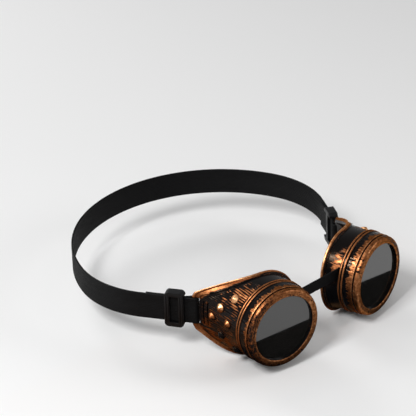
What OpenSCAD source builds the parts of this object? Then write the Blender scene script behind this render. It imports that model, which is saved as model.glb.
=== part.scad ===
// Round-lens goggles on an elastic head strap, in millimetres.
// +Z is up, the lenses face -Y, and the wearer's left is +X.
// The origin is the middle of the strap loop, at the height of the lens centres.
// One side is drawn at +X and mirrored for the other.
// A cup has a frame of its own: x towards the temple, y up, z out along the lens axis,
// with its origin in the lens axis at the front of the lens ring.

/* [Layout] */
// Distance from the nose line to each lens centre
lens_offset = 48.4; // [46:0.1:52]
// Turn of each cup towards its temple, in degrees
toe_out = 9.5; // [7:0.5:12]
// Distance from the middle of the strap loop to the lens centres
lens_reach = 128.7; // [123:0.1:133]

/* [Lens ring] */
// Radius of the opening that the wearer looks through
view_r = 24; // [20:0.1:24.2]
// Radius of the lens
lens_r = 25; // [24.6:0.1:25.6]
// Thickness of the lens
lens_t = 2; // [1.5:0.1:2.6]
// Depth of the lip that holds the lens from the front
lip_depth = 2.2; // [1.8:0.1:2.6]
// Length of the bezel in front of the groove
bezel_len = 3.5; // [3.2:0.1:3.8]
// Radius of the smooth front bezel
bezel_r = 29.2; // [28.4:0.1:29.6]
// Radius of the fluted grip band
grip_r = 29.6; // [29.2:0.1:31]
// Depth of the whole ring, front to back
ring_depth = 11.5; // [11:0.1:13]
// Number of shallow finger flutes round the grip band
flute_count = 48; // [36:2:54]
// Width of each flute
flute_w = 2.4; // [1.8:0.1:3]
// Depth of each flute
flute_depth = 0.25; // [0.2:0.05:0.35]
// Outer radius of the cup's threaded neck
neck_r = 27; // [26.7:0.1:27.3]
// Radial running gap between the neck and the ring
neck_gap = 0.08; // [0.05:0.01:0.10]
// Thickness of the rubber gasket behind the lens
gasket_t = 0.9; // [0.6:0.1:1.2]
// Width of the rubber gasket
gasket_w = 1.2; // [0.8:0.1:1.6]
// Gap between a seated piece and its seat
seat_gap = 0.05; // [0.03:0.01:0.10]
// Gap between the back of the ring and the collar
ring_gap = 0.3; // [0.2:0.05:0.6]

/* [Eye cup] */
// Outer radius of the shell where it leaves the collar
cup_r = 29; // [28.6:0.1:31]
// Wall thickness of the shell
cup_wall = 2; // [1.6:0.1:2.4]
// Inner radius of the neck and collar
bore_r = 24.5; // [24.3:0.1:25.2]
// Length of the collar along the lens axis
collar_len = 4.4; // [4.2:0.1:6]
// Radius of the two beads round the collar
bead_r = 0.8; // [0.5:0.05:1]
// Depth of the shell at the brow and the cheek
brow_depth = 31.2; // [28:0.2:34]
// Depth of the shell beside the nose
nose_depth = 30.2; // [28:0.2:34]
// Depth of the shell at the temple
temple_depth = 60; // [57:0.1:65]
// How far the shell squares up towards the temple, along its width
temple_square = 14.4; // [12:0.1:16]
// Share of that squaring in the shell's height
corner_rise = 0.65; // [0.5:0.05:0.9]
// How far the shell drops over the cheek
cheek_drop = 6; // [3:0.2:7]
// How far the temple wall flares out at its end
temple_flare = 6; // [3:0.1:7]
// How far the rolled rim stands out from the shell
rim_proud = 2.4; // [1.6:0.1:3]
// Width of the rolled rim with its step
rim_width = 3.4; // [3.2:0.1:4]
// How much wider the step is above the temple
rim_widen = 5.6; // [4:0.1:6]
// Width of the two narrow slots beside the strap
vent_w = 1.2; // [0.8:0.1:1.6]
// Height of the two narrow slots
vent_h = 18.5; // [16:0.5:21]
// Width of the bar between the strap opening and the first slot
first_bar = 2.9; // [2:0.1:3.2]
// Width of the bar between the two slots
second_bar = 2.3; // [1.8:0.1:2.5]

/* [Cone studs] */
// Radius of a stud's foot
stud_r = 3.2; // [2.6:0.1:3.4]
// Height of a stud
stud_h = 2.4; // [2:0.1:3.5]
// Radius of the shank through the shell
shank_r = 1.3; // [1.1:0.05:1.5]
// Radius of the screw inside the shank
screw_r = 0.75; // [0.6:0.05:0.8]
// Radius of the screw's head
screw_head_r = 2.2; // [1.8:0.1:2.6]
// Thickness of the screw's head
screw_head_t = 0.9; // [0.6:0.1:1.2]
// Depth of the front row of three studs
front_row = 26.4; // [25:0.2:27.2]
// Depth of the middle row of two studs
middle_row = 35.6; // [34:0.2:36.6]
// Gap between the single rear stud and the slot behind it
rear_stud_gap = 0.7; // [0.6:0.05:1]
// Height of the flat seat that the shell has under each stud
seat_pad = 0.3; // [0.25:0.05:0.5]

/* [Bridge strap] */
// Height of the band over the nose
bridge_h = 8.5; // [6:0.5:9]
// Thickness of the band
bridge_t = 1.2; // [0.8:0.1:1.4]
// Height of the band's middle above the lens centres
bridge_z = 9.6; // [8:0.2:11]
// Depth of the band behind the lens centres
bridge_back = 12.9; // [12.6:0.1:14]
// Radius of the pin that keeps each end inside its cup
keeper_r = 1.2; // [1:0.1:1.4]

/* [Head strap] */
// Width of the elastic
strap_w = 20; // [18:0.5:20.5]
// Thickness of the elastic
strap_t = 1.4; // [1:0.1:1.6]
// Radius of the round bar that the strap folds round
strap_bar_r = 1.1; // [0.9:0.05:1.2]
// Gap between the strap and what it passes
strap_gap = 0.25; // [0.2:0.05:0.3]
// Play round the strap in its opening in the cup
opening_play = 0.8; // [0.6:0.05:1]
// Bend radius of the loop at each side of the head
side_r = 65; // [62:1:68]
// Distance from the middle to the centre of the side bends
side_x = 36.6; // [34:0.2:38]
// Angle of the side bends behind the widest point, in degrees
side_turn = 20; // [16:1:24]

/* [Sliders] */
// Length of a slider along the strap
slider_len = 14; // [12:0.5:15]
// Height of a slider
slider_h = 27; // [26:0.5:30]
// Width of each end bar of a slider
slider_bar = 3.8; // [3:0.1:4.4]
// Thickness of a slider's bars
slider_t = 1.5; // [1.2:0.1:1.8]
// Distance from the strap bar to a slider
slider_start = 7.5; // [7:0.1:9]
// Travel of a slider along the doubled strap
slider_travel = 12; // [8:0.5:13]

/* [Hidden] */
$fn = 96;

copper = [0.62, 0.36, 0.20];
bright_copper = [0.80, 0.52, 0.32];
black = [0.06, 0.06, 0.07];
smoke = [0.10, 0.10, 0.11];
steel = [0.60, 0.60, 0.60];

slack = 0.1;              // how far a cutting shape runs past a face

// Depths along the lens axis, behind the front of the ring
lens_front = lip_depth + seat_gap;
gasket_front = lens_front + lens_t;
gasket_back = gasket_front + gasket_t;
neck_front = gasket_back + seat_gap;
collar_front = ring_depth + ring_gap;
collar_back = collar_front + collar_len;
shell_front = collar_back - collar_len / 2;
groove_len = 2;           // the groove in front of the grip band, with its raised line
grip_front = bezel_len + groove_len;

edge = 0.3;               // bevel of a moulded edge
collar_step = 0.4;        // how far the collar stands out from the shell
collar_r = cup_r + collar_step;
seat_r = lens_r + 2 * seat_gap;

// A point on an arc in a 2D profile
function arc(c, r, a0, a1, n) = [for (i = [0:n]) let (a = a0 + (a1 - a0) * i / n)
    c + r * [cos(a), sin(a)]];
function limit(x) = max(-1, min(1, x));
function turn(v, a) = [v[0] * cos(a) - v[1] * sin(a), v[0] * sin(a) + v[1] * cos(a)];

// The shell is a round tube that squares up and flares towards the temple and
// drops over the cheek.
// around: angle round the lens axis, 0 at the temple; depth: behind the ring's front;
// out: distance outside the shell's outer face.
square_power = 1.7;       // how late the squaring sets in
flare_power = 4;          // how late the flare sets in
drop_power = 1.4;         // how late the drop sets in
flat_wide = 0.3;          // share of the width over which the temple wall is flat
flat_high = 0.34;         // share of the height over which brow and cheek are flat
function drawn(depth) = max(0, (depth - collar_back) / (temple_depth - collar_back));
function skin(around, depth, out) =
    let (q = drawn(depth),
         shift = temple_square * pow(q, square_power),
         r = cup_r - shift + out,
         flare = temple_flare * pow(q, flare_power) * max(0, cos(around)),
         drop = cheek_drop * sin(180 * min(1, pow(q, drop_power))) * max(0, -sin(around)))
    [shift * limit(cos(around) / flat_wide) + r * cos(around) + flare,
     corner_rise * shift * limit(sin(around) / flat_high) + r * sin(around) - drop,
     -depth];
// Depth of the shell's rear edge, which follows the face
edge_full = 1.05;         // over 1, so that the edge stays at full depth across the strap
temple_power = 1.75;      // how fast the edge comes forward away from the temple
nose_power = 1.6;         // how fast it does so beside the nose
function rear(around) =
    brow_depth
    + (temple_depth - brow_depth) * min(1, edge_full * pow(max(0, cos(around)), temple_power))
    + (nose_depth - brow_depth) * pow(max(0, -cos(around)), nose_power);
// Width of the rim with its step, which is widest above the temple
function rim(around) = rim_width
    + rim_widen * pow(2 * max(0, cos(around)) * max(0, sin(around)), 2);
// Outward direction of the shell at a point
function skin_normal(around, depth) =
    let (a = skin(around + 1, depth, 0) - skin(around - 1, depth, 0),
         b = skin(around, depth + edge, 0) - skin(around, depth - edge, 0),
         n = cross(b, a))
    n / norm(n);

// One closed outline from the collar back along the outside, round the rim and along the inside
shell_steps = 6;
step_share = 0.36;        // share of the rim's height that its flat step has
// Rolled part of the rim: distance from the rear edge, and share of the rim's height
rolled_rim = [[2.7, 0.4], [2.3, 0.84], [1.3, 1], [0.4, 0.86], [0, 0.45]];
function shell_outline(around) =
    let (e = rear(around), a = shell_front, b = e - rim(around))
    concat(
        [for (i = [0:shell_steps]) skin(around, a + (b - a) * i / shell_steps, 0)],
        [for (p = concat([[rim(around) - edge, step_share]], rolled_rim))
            skin(around, e - p[0], p[1] * rim_proud)],
        [skin(around, e, edge - cup_wall)],
        [for (i = [shell_steps:-1:0]) skin(around, a + (e - edge - a) * i / shell_steps, -cup_wall)]);

module eye_cup_shell() {
    step = 6;
    sides = 360 / step;
    outlines = [for (i = [0:sides - 1]) shell_outline(i * step)];
    m = len(outlines[0]);
    faces = [for (i = [0:sides - 1]) for (j = [0:m - 1])
        let (a = i * m + j,
             b = i * m + (j + 1) % m,
             c = ((i + 1) % sides) * m + (j + 1) % m,
             d = ((i + 1) % sides) * m + j)
        each [[a, c, b], [a, d, c]]];
    polyhedron([for (o = outlines) each o], faces);
}

// Neck, collar and the two beads
module eye_cup_collar() {
    bead_inset = bead_r + collar_step / 2;
    rotate_extrude() {
        polygon([
            [bore_r, -collar_back], [collar_r, -collar_back], [collar_r, -collar_front],
            [neck_r, -collar_front], [neck_r, -neck_front - edge], [neck_r - edge, -neck_front],
            [bore_r, -neck_front]]);
        for (z = [-collar_front - bead_inset, -collar_back + bead_inset])
            translate([collar_r + bead_r / 8, z]) circle(r = bead_r, $fn = 32);
    }
}

// The bar that the head strap folds round stands in the middle of the temple wall
bar_inset = 0.2;          // from the shell's rear edge to the bar
strap_bar_depth = temple_depth - strap_bar_r - bar_inset;
strap_bar_x = skin(0, strap_bar_depth, -cup_wall / 2)[0];
fold_r = strap_bar_r + strap_gap + strap_t / 2;
strap_opening_front = strap_bar_depth - fold_r - strap_t / 2 - opening_play;
strap_opening_h = strap_w + 2 * opening_play;
first_vent_front = strap_opening_front - first_bar - vent_w;
second_vent_front = first_vent_front - second_bar - vent_w;

module temple_cuts() {
    reach = cup_r + temple_flare + rim_proud;
    slots = [[strap_opening_front, temple_depth + slack, strap_opening_h],
             [first_vent_front, first_vent_front + vent_w, vent_h],
             [second_vent_front, second_vent_front + vent_w, vent_h]];
    for (s = slots)
        translate([cup_r / 2, -s[2] / 2, -s[1]]) cube([reach, s[2], s[1] - s[0]]);
}

rear_row = second_vent_front - rear_stud_gap - stud_r;
// Places of the studs: angle round the lens axis and depth
stud_places = [[41, front_row], [3, front_row], [-41, front_row],
               [18, middle_row], [-18, middle_row], [0, rear_row]];

module at_studs() {
    for (p = stud_places) {
        n = skin_normal(p[0], p[1]);
        translate(skin(p[0], p[1], 0))
            rotate([0, acos(n[2]), atan2(n[1], n[0])])
                children();
    }
}

module in_cup_frame() {
    translate([lens_offset, -lens_reach, 0]) rotate([90, 0, toe_out]) children();
}

// The band crosses the nose along X and enters each collar from the side
bridge_y = -lens_reach + bridge_back;
keeper_play = 0.1;        // gap between a pin and the loop sewn round it
end_loop_r = keeper_r + keeper_play + bridge_t;
bridge_top = bridge_z + bridge_h / 2;
keeper_in = sqrt(pow(bore_r - ring_gap, 2) - pow(bridge_top, 2)) - end_loop_r;
keeper_x = lens_offset - (keeper_in + bridge_back * sin(toe_out)) / cos(toe_out);

module bridge_slot() {
    play = 0.25;
    translate([0, bridge_y - bridge_t / 2 - play, bridge_z - bridge_h / 2 - play])
        cube([keeper_x, bridge_t + 2 * play, bridge_h + 2 * play]);
}

module eye_cup() {
    difference() {
        in_cup_frame() union() {
            difference() {
                union() {
                    eye_cup_shell();
                    eye_cup_collar();
                    at_studs() translate([0, 0, -cup_wall / 2])
                        cylinder(r = stud_r, h = cup_wall / 2 + seat_pad, $fn = 32);
                }
                temple_cuts();
                at_studs() translate([0, 0, -2 * cup_wall])
                    cylinder(r = shank_r + seat_gap, h = 4 * cup_wall, $fn = 32);
            }
            translate([strap_bar_x, 0, -strap_bar_depth])
                rotate([90, 0, 0])
                    cylinder(r = strap_bar_r, h = strap_opening_h + 2 * opening_play, center = true, $fn = 32);
        }
        bridge_slot();
    }
}

// A flute is the arc of a circle that stands outside the grip band
flute_r = (pow(flute_w / 2, 2) + pow(flute_depth, 2)) / (2 * flute_depth);

module lens_ring() {
    inner_round = 0.7;
    outer_round = 2.3;
    groove_cut = 0.7;
    line_round = 0.4;
    line_front = bezel_len + 0.65 * groove_len;
    profile = concat(
        [[view_r, -lip_depth]],
        arc([view_r + inner_round, -inner_round], inner_round, 180, 90, 4),
        arc([bezel_r - outer_round, -outer_round], outer_round, 90, 0, 7),
        [[bezel_r, -bezel_len], [bezel_r - groove_cut, -bezel_len - 0.1 * groove_len],
         [bezel_r - groove_cut, -bezel_len - 0.4 * groove_len]],
        arc([grip_r - line_round, -line_front], line_round, 100, -40, 4),
        [[grip_r, -grip_front], [grip_r, -ring_depth + edge], [grip_r - edge, -ring_depth],
         [neck_r + neck_gap, -ring_depth], [neck_r + neck_gap, -neck_front],
         [seat_r, -neck_front], [seat_r, -lip_depth]]);
    in_cup_frame() difference() {
        rotate_extrude() polygon(profile);
        for (i = [0:flute_count - 1])
            rotate([0, 0, 360 * i / flute_count])
                translate([grip_r + flute_r - flute_depth, 0, -ring_depth - slack])
                    cylinder(r = flute_r, h = ring_depth - grip_front - edge + slack, $fn = 48);
    }
}

module lens() {
    in_cup_frame() rotate_extrude() polygon([
        [0, -lens_front], [lens_r - edge, -lens_front], [lens_r, -lens_front - edge],
        [lens_r, -gasket_front + edge], [lens_r - edge, -gasket_front], [0, -gasket_front]]);
}

module lens_gasket() {
    in_cup_frame() rotate_extrude()
        translate([lens_r - gasket_w, -gasket_back]) square([gasket_w, gasket_t]);
}

// A stud stands on its flat seat with its shank through the shell; the screw comes from inside
module cone_studs() {
    seat = seat_pad + seat_gap;
    foot = seat + stud_h / 5;
    tip = seat + stud_h;
    in_cup_frame() at_studs() difference() {
        rotate_extrude($fn = 32) polygon([
            [0, -cup_wall], [shank_r, -cup_wall], [shank_r, seat], [stud_r, seat],
            [stud_r, foot], [stud_r * 0.9, foot + stud_h * 0.16], [stud_r * 0.3, tip - stud_h * 0.16],
            [stud_r * 0.15, tip - stud_h * 0.04], [0, tip]]);
        translate([0, 0, -cup_wall - slack])
            cylinder(r = screw_r + seat_gap, h = cup_wall + slack + stud_h / 2, $fn = 32);
    }
}

module stud_screws() {
    under_head = -cup_wall - 4 * seat_gap;
    in_cup_frame() at_studs() rotate_extrude($fn = 32) polygon([
        [0, under_head - screw_head_t], [screw_head_r * 0.8, under_head - screw_head_t],
        [screw_head_r, under_head - screw_head_t / 3], [screw_head_r, under_head],
        [screw_r, under_head], [screw_r, stud_h / 3], [0, stud_h / 3]]);
}

// The band's ends are sewn round the keeper pins
module bridge_strap() {
    translate([0, bridge_y, bridge_z]) linear_extrude(bridge_h, center = true) difference() {
        union() {
            square([2 * keeper_x, bridge_t], center = true);
            for (s = [-1, 1]) translate([s * keeper_x, 0]) circle(r = end_loop_r, $fn = 32);
        }
        for (s = [-1, 1]) translate([s * keeper_x, 0]) circle(r = keeper_r + keeper_play, $fn = 32);
    }
}

module bridge_keeper() {
    translate([keeper_x, bridge_y, bridge_z])
        cylinder(r = keeper_r, h = bridge_h + 2 * keeper_r, center = true, $fn = 32);
}

// Route of the elastic seen from above: straight from the fold at the cup, a bend
// at the side of the head and a wider bend at the back
cup_origin = [lens_offset, -lens_reach];
fold_centre = cup_origin + turn([strap_bar_x, strap_bar_depth], toe_out);
side_centre = [side_x, 0];
to_side = side_centre - fold_centre;
out_angle = atan2(to_side[1], to_side[0]) - acos((fold_r - side_r) / norm(to_side));
run_angle = out_angle + 90;
run_start = fold_centre + fold_r * [cos(out_angle), sin(out_angle)];
rear_r = side_r + side_x / cos(side_turn);
rear_centre = [0, -side_x * tan(side_turn)];
run_len = norm(side_centre + side_r * [cos(out_angle), sin(out_angle)] - run_start);

// The inner layer leaves the fold, closes up to the outer layer and ends past the slider,
// where the straight run ends at the latest
layer_gap = 0.2;
tail_past = 2;            // how far the tail runs on when the slider is at its far end
layers = strap_t + layer_gap;
close_x = slider_start - slider_bar / 6;
tail_x = min(slider_start + slider_len + slider_travel + tail_past, run_len - strap_t);
leave = atan2(layers - fold_r, close_x) + acos(fold_r / norm([close_x, layers - fold_r]));

function on_run(p) = run_start + turn(p, run_angle);
half_route = concat(
    [on_run([tail_x, layers]), on_run([close_x, layers])],
    [for (p = arc([0, fold_r], fold_r, leave, 270, 14)) on_run(p)],
    arc(side_centre, side_r, out_angle, side_turn, 9),
    [for (i = [1:13]) arc(rear_centre, rear_r, side_turn, 90, 13)[i]]);
route = concat(
    half_route,
    [for (i = [len(half_route) - 2:-1:0]) [-half_route[i][0], half_route[i][1]]]);

// A band of even thickness along a route, as one outline
function unit(v) = v / norm(v);
function side_step(route, i) =
    let (last = len(route) - 1,
         a = unit(route[max(i, 1)] - route[max(i, 1) - 1]),
         b = unit(route[min(i, last - 1) + 1] - route[min(i, last - 1)]),
         n = a + b)
    [-n[1], n[0]] / (1 + a * b);
function band(route, thick) = concat(
    [for (i = [0:len(route) - 1]) route[i] + side_step(route, i) * thick / 2],
    [for (i = [len(route) - 1:-1:0]) route[i] - side_step(route, i) * thick / 2]);

module head_strap() {
    linear_extrude(strap_w, center = true) polygon(band(route, strap_t));
}

// A slider stands round both layers: end bars outside them, one bar inside
module slider() {
    corner = 3;
    rib_r = 0.55;
    window = slider_len - 2 * slider_bar;
    outside = -strap_t / 2 - strap_gap;
    inside = layers + strap_t / 2 + strap_gap;
    opening_h = strap_w + 2 * strap_gap;
    deep = inside - outside + 2 * slider_t;
    translate(run_start) rotate([0, 0, run_angle]) difference() {
        union() {
            translate([slider_start, outside - slider_t, 0]) rotate([-90, 0, 0])
                linear_extrude(deep) translate([slider_len / 2, 0]) union() {
                    square([slider_len - 2 * corner, slider_h], center = true);
                    square([slider_len, slider_h - 2 * corner], center = true);
                    for (x = [-1, 1], z = [-1, 1])
                        translate([x * (slider_len / 2 - corner), z * (slider_h / 2 - corner)])
                            circle(r = corner, $fn = 48);
                }
            for (x = [slider_bar * 0.3, slider_bar * 0.75, slider_len - slider_bar * 0.75,
                      slider_len - slider_bar * 0.3])
                translate([slider_start + x, outside - slider_t, 0])
                    cylinder(r = rib_r, h = slider_h - 2 * corner, center = true, $fn = 24);
        }
        translate([slider_start - slack, outside, -opening_h / 2])
            cube([slider_len + 2 * slack, inside - outside, opening_h]);
        translate([slider_start + slider_bar, outside - slider_t - rib_r - slack, -opening_h / 2])
            cube([window, slider_t + rib_r + 2 * slack, opening_h]);
        for (x = [-slack, (slider_len + slider_bar) / 2])
            translate([slider_start + x, inside - slack, -opening_h / 2])
                cube([(slider_len - slider_bar) / 2 + slack, slider_t + 2 * slack, opening_h]);
    }
}

module on_right() {
    mirror([1, 0, 0]) children();
}

color(copper) on_right() eye_cup();  // right_eye_cup
color(copper) eye_cup();  // left_eye_cup
color(bright_copper) on_right() lens_ring();  // right_lens_ring
color(bright_copper) lens_ring();  // left_lens_ring
color(smoke) on_right() lens();  // right_lens
color(smoke) lens();  // left_lens
color(black) on_right() lens_gasket();  // right_lens_gasket
color(black) lens_gasket();  // left_lens_gasket
color(bright_copper) on_right() cone_studs();  // right_cone_studs
color(bright_copper) cone_studs();  // left_cone_studs
color(steel) on_right() stud_screws();  // right_stud_screws
color(steel) stud_screws();  // left_stud_screws
color(black) bridge_strap();
color(steel) on_right() bridge_keeper();  // right_bridge_keeper
color(steel) bridge_keeper();  // left_bridge_keeper
color(black) head_strap();
color(black) on_right() slider();  // right_slider
color(black) slider();  // left_slider
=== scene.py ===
# %% [markdown]
# Round-lens goggles with side shields, aged copper over black.
#
# This lesson dresses a packed assembly of goggles: two deep eye cups, screw-on lens rings,
# dark lenses, studs, a band over the nose and an elastic head strap with sliders.
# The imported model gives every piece's place and motion. The cells below make the surfaces
# that the eye sees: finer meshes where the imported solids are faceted, and materials
# made of nodes. All shapes are worked out in millimetres in a cup's own frame
# (t towards the temple, u up, w out along the lens axis) and turned into metres at the end.

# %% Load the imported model
import math

import bmesh
import bpy
import numpy as np
from mathutils import Matrix, Vector


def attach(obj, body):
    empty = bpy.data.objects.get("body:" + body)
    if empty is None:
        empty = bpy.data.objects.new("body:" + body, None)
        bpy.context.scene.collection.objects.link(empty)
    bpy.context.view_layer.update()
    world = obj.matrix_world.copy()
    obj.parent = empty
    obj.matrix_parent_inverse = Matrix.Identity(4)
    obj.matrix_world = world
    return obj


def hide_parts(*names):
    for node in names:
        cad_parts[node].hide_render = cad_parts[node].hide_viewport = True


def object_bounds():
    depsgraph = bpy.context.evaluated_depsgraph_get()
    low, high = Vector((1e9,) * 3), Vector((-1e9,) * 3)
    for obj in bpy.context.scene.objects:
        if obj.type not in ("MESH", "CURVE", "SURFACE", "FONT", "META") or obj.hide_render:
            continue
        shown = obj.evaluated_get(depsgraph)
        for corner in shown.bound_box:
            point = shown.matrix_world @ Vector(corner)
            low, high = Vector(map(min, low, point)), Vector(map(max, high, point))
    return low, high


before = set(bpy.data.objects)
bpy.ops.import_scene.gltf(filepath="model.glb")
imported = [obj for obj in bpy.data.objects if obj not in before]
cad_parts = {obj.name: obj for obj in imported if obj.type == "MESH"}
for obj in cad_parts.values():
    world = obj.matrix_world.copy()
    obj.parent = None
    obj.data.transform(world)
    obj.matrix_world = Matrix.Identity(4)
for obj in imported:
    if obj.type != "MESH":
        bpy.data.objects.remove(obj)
cad_low, cad_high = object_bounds()
scene = bpy.context.scene
MM = 0.001
SIDES = {"right": -1, "left": 1}
print("packed nodes:", len(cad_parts))

# %% [markdown]
# The camera stands where the photographer stood: to the wearer's right of the goggles and
# above them, far away with a long lens. Its place was found by fitting the lens rings and
# shells to their outlines. Building its matrix from three unit vectors is plainer than
# turning it with Euler angles, because the small roll is then one rotation of two vectors.

# %% Camera
LOOK_TURN = math.radians(-43.84)
LOOK_DOWN = math.radians(28.35)
LOOK_ROLL = math.radians(-1.84)
LOOK_DISTANCE = 1600.0
PHOTO_SIDE = 416
FOCAL_PIXELS = 2299.5
SENSOR = 36.0
AIM_POINT = Vector((0, -127.4, 0))
# where the aim point falls in the picture, in pixels from its top left corner
AIM_ACROSS = 331.5
AIM_DOWN = 301.4
AIM_RIGHT = (AIM_ACROSS - PHOTO_SIDE / 2) / FOCAL_PIXELS
AIM_UP = (PHOTO_SIDE / 2 - AIM_DOWN) / FOCAL_PIXELS


def make_camera():
    back = Vector((math.sin(LOOK_TURN) * math.cos(LOOK_DOWN),
                   -math.cos(LOOK_TURN) * math.cos(LOOK_DOWN),
                   math.sin(LOOK_DOWN)))
    level = Vector((math.cos(LOOK_TURN), math.sin(LOOK_TURN), 0))
    upright = back.cross(level)
    right = level * math.cos(LOOK_ROLL) + upright * math.sin(LOOK_ROLL)
    up = upright * math.cos(LOOK_ROLL) - level * math.sin(LOOK_ROLL)
    eye = AIM_POINT - LOOK_DISTANCE * (AIM_RIGHT * right + AIM_UP * up - back)
    data = bpy.data.cameras.new("camera")
    data.sensor_width = SENSOR
    data.lens = FOCAL_PIXELS / PHOTO_SIDE * SENSOR
    data.clip_start = 0.05
    data.clip_end = 20
    camera = bpy.data.objects.new("camera", data)
    camera.matrix_world = Matrix((
        (right.x, up.x, back.x, eye.x * MM),
        (right.y, up.y, back.y, eye.y * MM),
        (right.z, up.z, back.z, eye.z * MM),
        (0, 0, 0, 1)))
    scene.collection.objects.link(camera)
    scene.camera = camera
    return camera


camera = make_camera()
print("camera lens, mm:", round(camera.data.lens, 1))

# %% [markdown]
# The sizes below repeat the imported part's own. A cup's frame sits in the lens axis at the
# front of the ring. Depth is counted backwards from there, so w is minus the depth.

# %% Sizes of the real pieces, in millimetres
LENS_OFFSET = 48.4
TOE_OUT = math.radians(9.5)
LENS_REACH = 128.7
VIEW_R = 24.0
LIP_DEPTH = 2.2
BEZEL_LEN = 3.5
BEZEL_R = 29.2
GRIP_R = 29.6
RING_DEPTH = 11.5
NECK_R = 27.0
NECK_GAP = 0.08
SEAT_R = 25.1
NECK_FRONT = 5.2
THREAD_PITCH = 2.5
THREAD_CUT = 0.35
COLLAR_FRONT = 11.8
COLLAR_BACK = 16.2
COLLAR_R = 29.4
BEAD_R = 0.8
CUP_R = 29.0
CUP_WALL = 2.0
BORE_R = 24.5
BROW_DEPTH = 31.2
NOSE_DEPTH = 30.2
TEMPLE_DEPTH = 60.0
TEMPLE_SQUARE = 14.4
CORNER_RISE = 0.65
CHEEK_DROP = 6.0
TEMPLE_FLARE = 6.0
RIM_PROUD = 2.4
RIM_WIDTH = 3.4
RIM_WIDEN = 5.6
STEP_UP = 0.9
STEP_START = 0.35
STEP_END = 2.7
LIP_R = 1.2
GROOVE_LEN = 2.0
THREAD_STEEP = 2.2
# how late squaring, flare and drop set in, and how fast the rear edge comes forward
SQUARE_POWER = 1.7
FLARE_POWER = 4
DROP_POWER = 1.4
TEMPLE_POWER = 1.75
NOSE_POWER = 1.6
EDGE_FULL = 1.05
# share of the width and of the height over which the squared shell is flat
FLAT_WIDE = 0.3
FLAT_HIGH = 0.34


def to_row(points, side):
    """Cup-frame millimetres to metres in the shared frame; side is 1 for left, -1 for right."""
    p = np.asarray(points, float)
    t, u, w = p[..., 0], p[..., 1], p[..., 2]
    x = LENS_OFFSET + t * math.cos(TOE_OUT) + w * math.sin(TOE_OUT)
    y = -LENS_REACH + t * math.sin(TOE_OUT) - w * math.cos(TOE_OUT)
    return np.stack([side * x, y, u], -1) * MM


def to_cup(points, side):
    """Metres in the shared frame back to cup-frame millimetres."""
    p = np.asarray(points, float) / MM
    x = side * p[..., 0] - LENS_OFFSET
    y = p[..., 1] + LENS_REACH
    t = x * math.cos(TOE_OUT) + y * math.sin(TOE_OUT)
    w = x * math.sin(TOE_OUT) - y * math.cos(TOE_OUT)
    return np.stack([t, p[..., 2], w], -1)


# %% [markdown]
# Small tools come next. A mesh is made from arrays of corners and faces. A tree of Geometry
# Nodes is run once on a bare object, and what it grew is kept as a plain mesh, because a
# plain mesh exports as it stands.

# %% Mesh tools
def new_object(name, mesh):
    obj = bpy.data.objects.new(name, mesh)
    scene.collection.objects.link(obj)
    return obj


def mesh_from(name, corners, faces):
    mesh = bpy.data.meshes.new(name)
    mesh.from_pydata([tuple(c) for c in corners], [], [tuple(f) for f in faces])
    mesh.validate()
    return mesh


def outward(mesh, merge=1e-7):
    """Merges doubles and turns every face outwards."""
    work = bmesh.new()
    work.from_mesh(mesh)
    bmesh.ops.remove_doubles(work, verts=work.verts, dist=merge)
    bmesh.ops.recalc_face_normals(work, faces=work.faces)
    work.to_mesh(mesh)
    work.free()
    return mesh


def soften(mesh, degrees=35):
    """Smooth shading with sharp edges where the surface turns by more than the angle."""
    mesh.shade_smooth()
    mesh.set_sharp_from_angle(angle=math.radians(degrees))
    return mesh


def evaluated(obj):
    """What an object's modifiers make of it, as a plain mesh."""
    view = bpy.context.evaluated_depsgraph_get()
    return bpy.data.meshes.new_from_object(obj.evaluated_get(view))


def corners_of(mesh):
    flat = np.zeros(len(mesh.vertices) * 3)
    mesh.vertices.foreach_get("co", flat)
    return flat.reshape(-1, 3)


def paint(mesh, name, values):
    """Stores one number per corner under a name that a material can read."""
    layer = mesh.attributes.get(name) or mesh.attributes.new(name, "FLOAT", "POINT")
    layer.data.foreach_set("value", np.asarray(values, np.float32))


def grid_faces(rows, columns, closed_rows=True, closed_columns=True):
    """Quads of a grid of corners, numbered row by row."""
    faces = []
    for i in range(rows if closed_rows else rows - 1):
        for j in range(columns if closed_columns else columns - 1):
            i2 = (i + 1) % rows
            j2 = (j + 1) % columns
            faces.append((i * columns + j, i * columns + j2,
                          i2 * columns + j2, i2 * columns + j))
    return faces


def cut(obj, cutter_meshes):
    """Cuts boxes out of a mesh with the Boolean modifier, and applies it."""
    for mesh in cutter_meshes:
        cutter = new_object("cutter", mesh)
        step = obj.modifiers.new("cut", "BOOLEAN")
        step.operation = "DIFFERENCE"
        step.solver = "EXACT"
        step.object = cutter
        result = evaluated(obj)
        obj.modifiers.clear()
        obj.data = result
        bpy.data.objects.remove(cutter)


def join(name, meshes):
    """One mesh out of several, each kept as it is."""
    work = bmesh.new()
    for mesh in meshes:
        work.from_mesh(mesh)
    joined = bpy.data.meshes.new(name)
    work.to_mesh(joined)
    work.free()
    return joined


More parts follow.
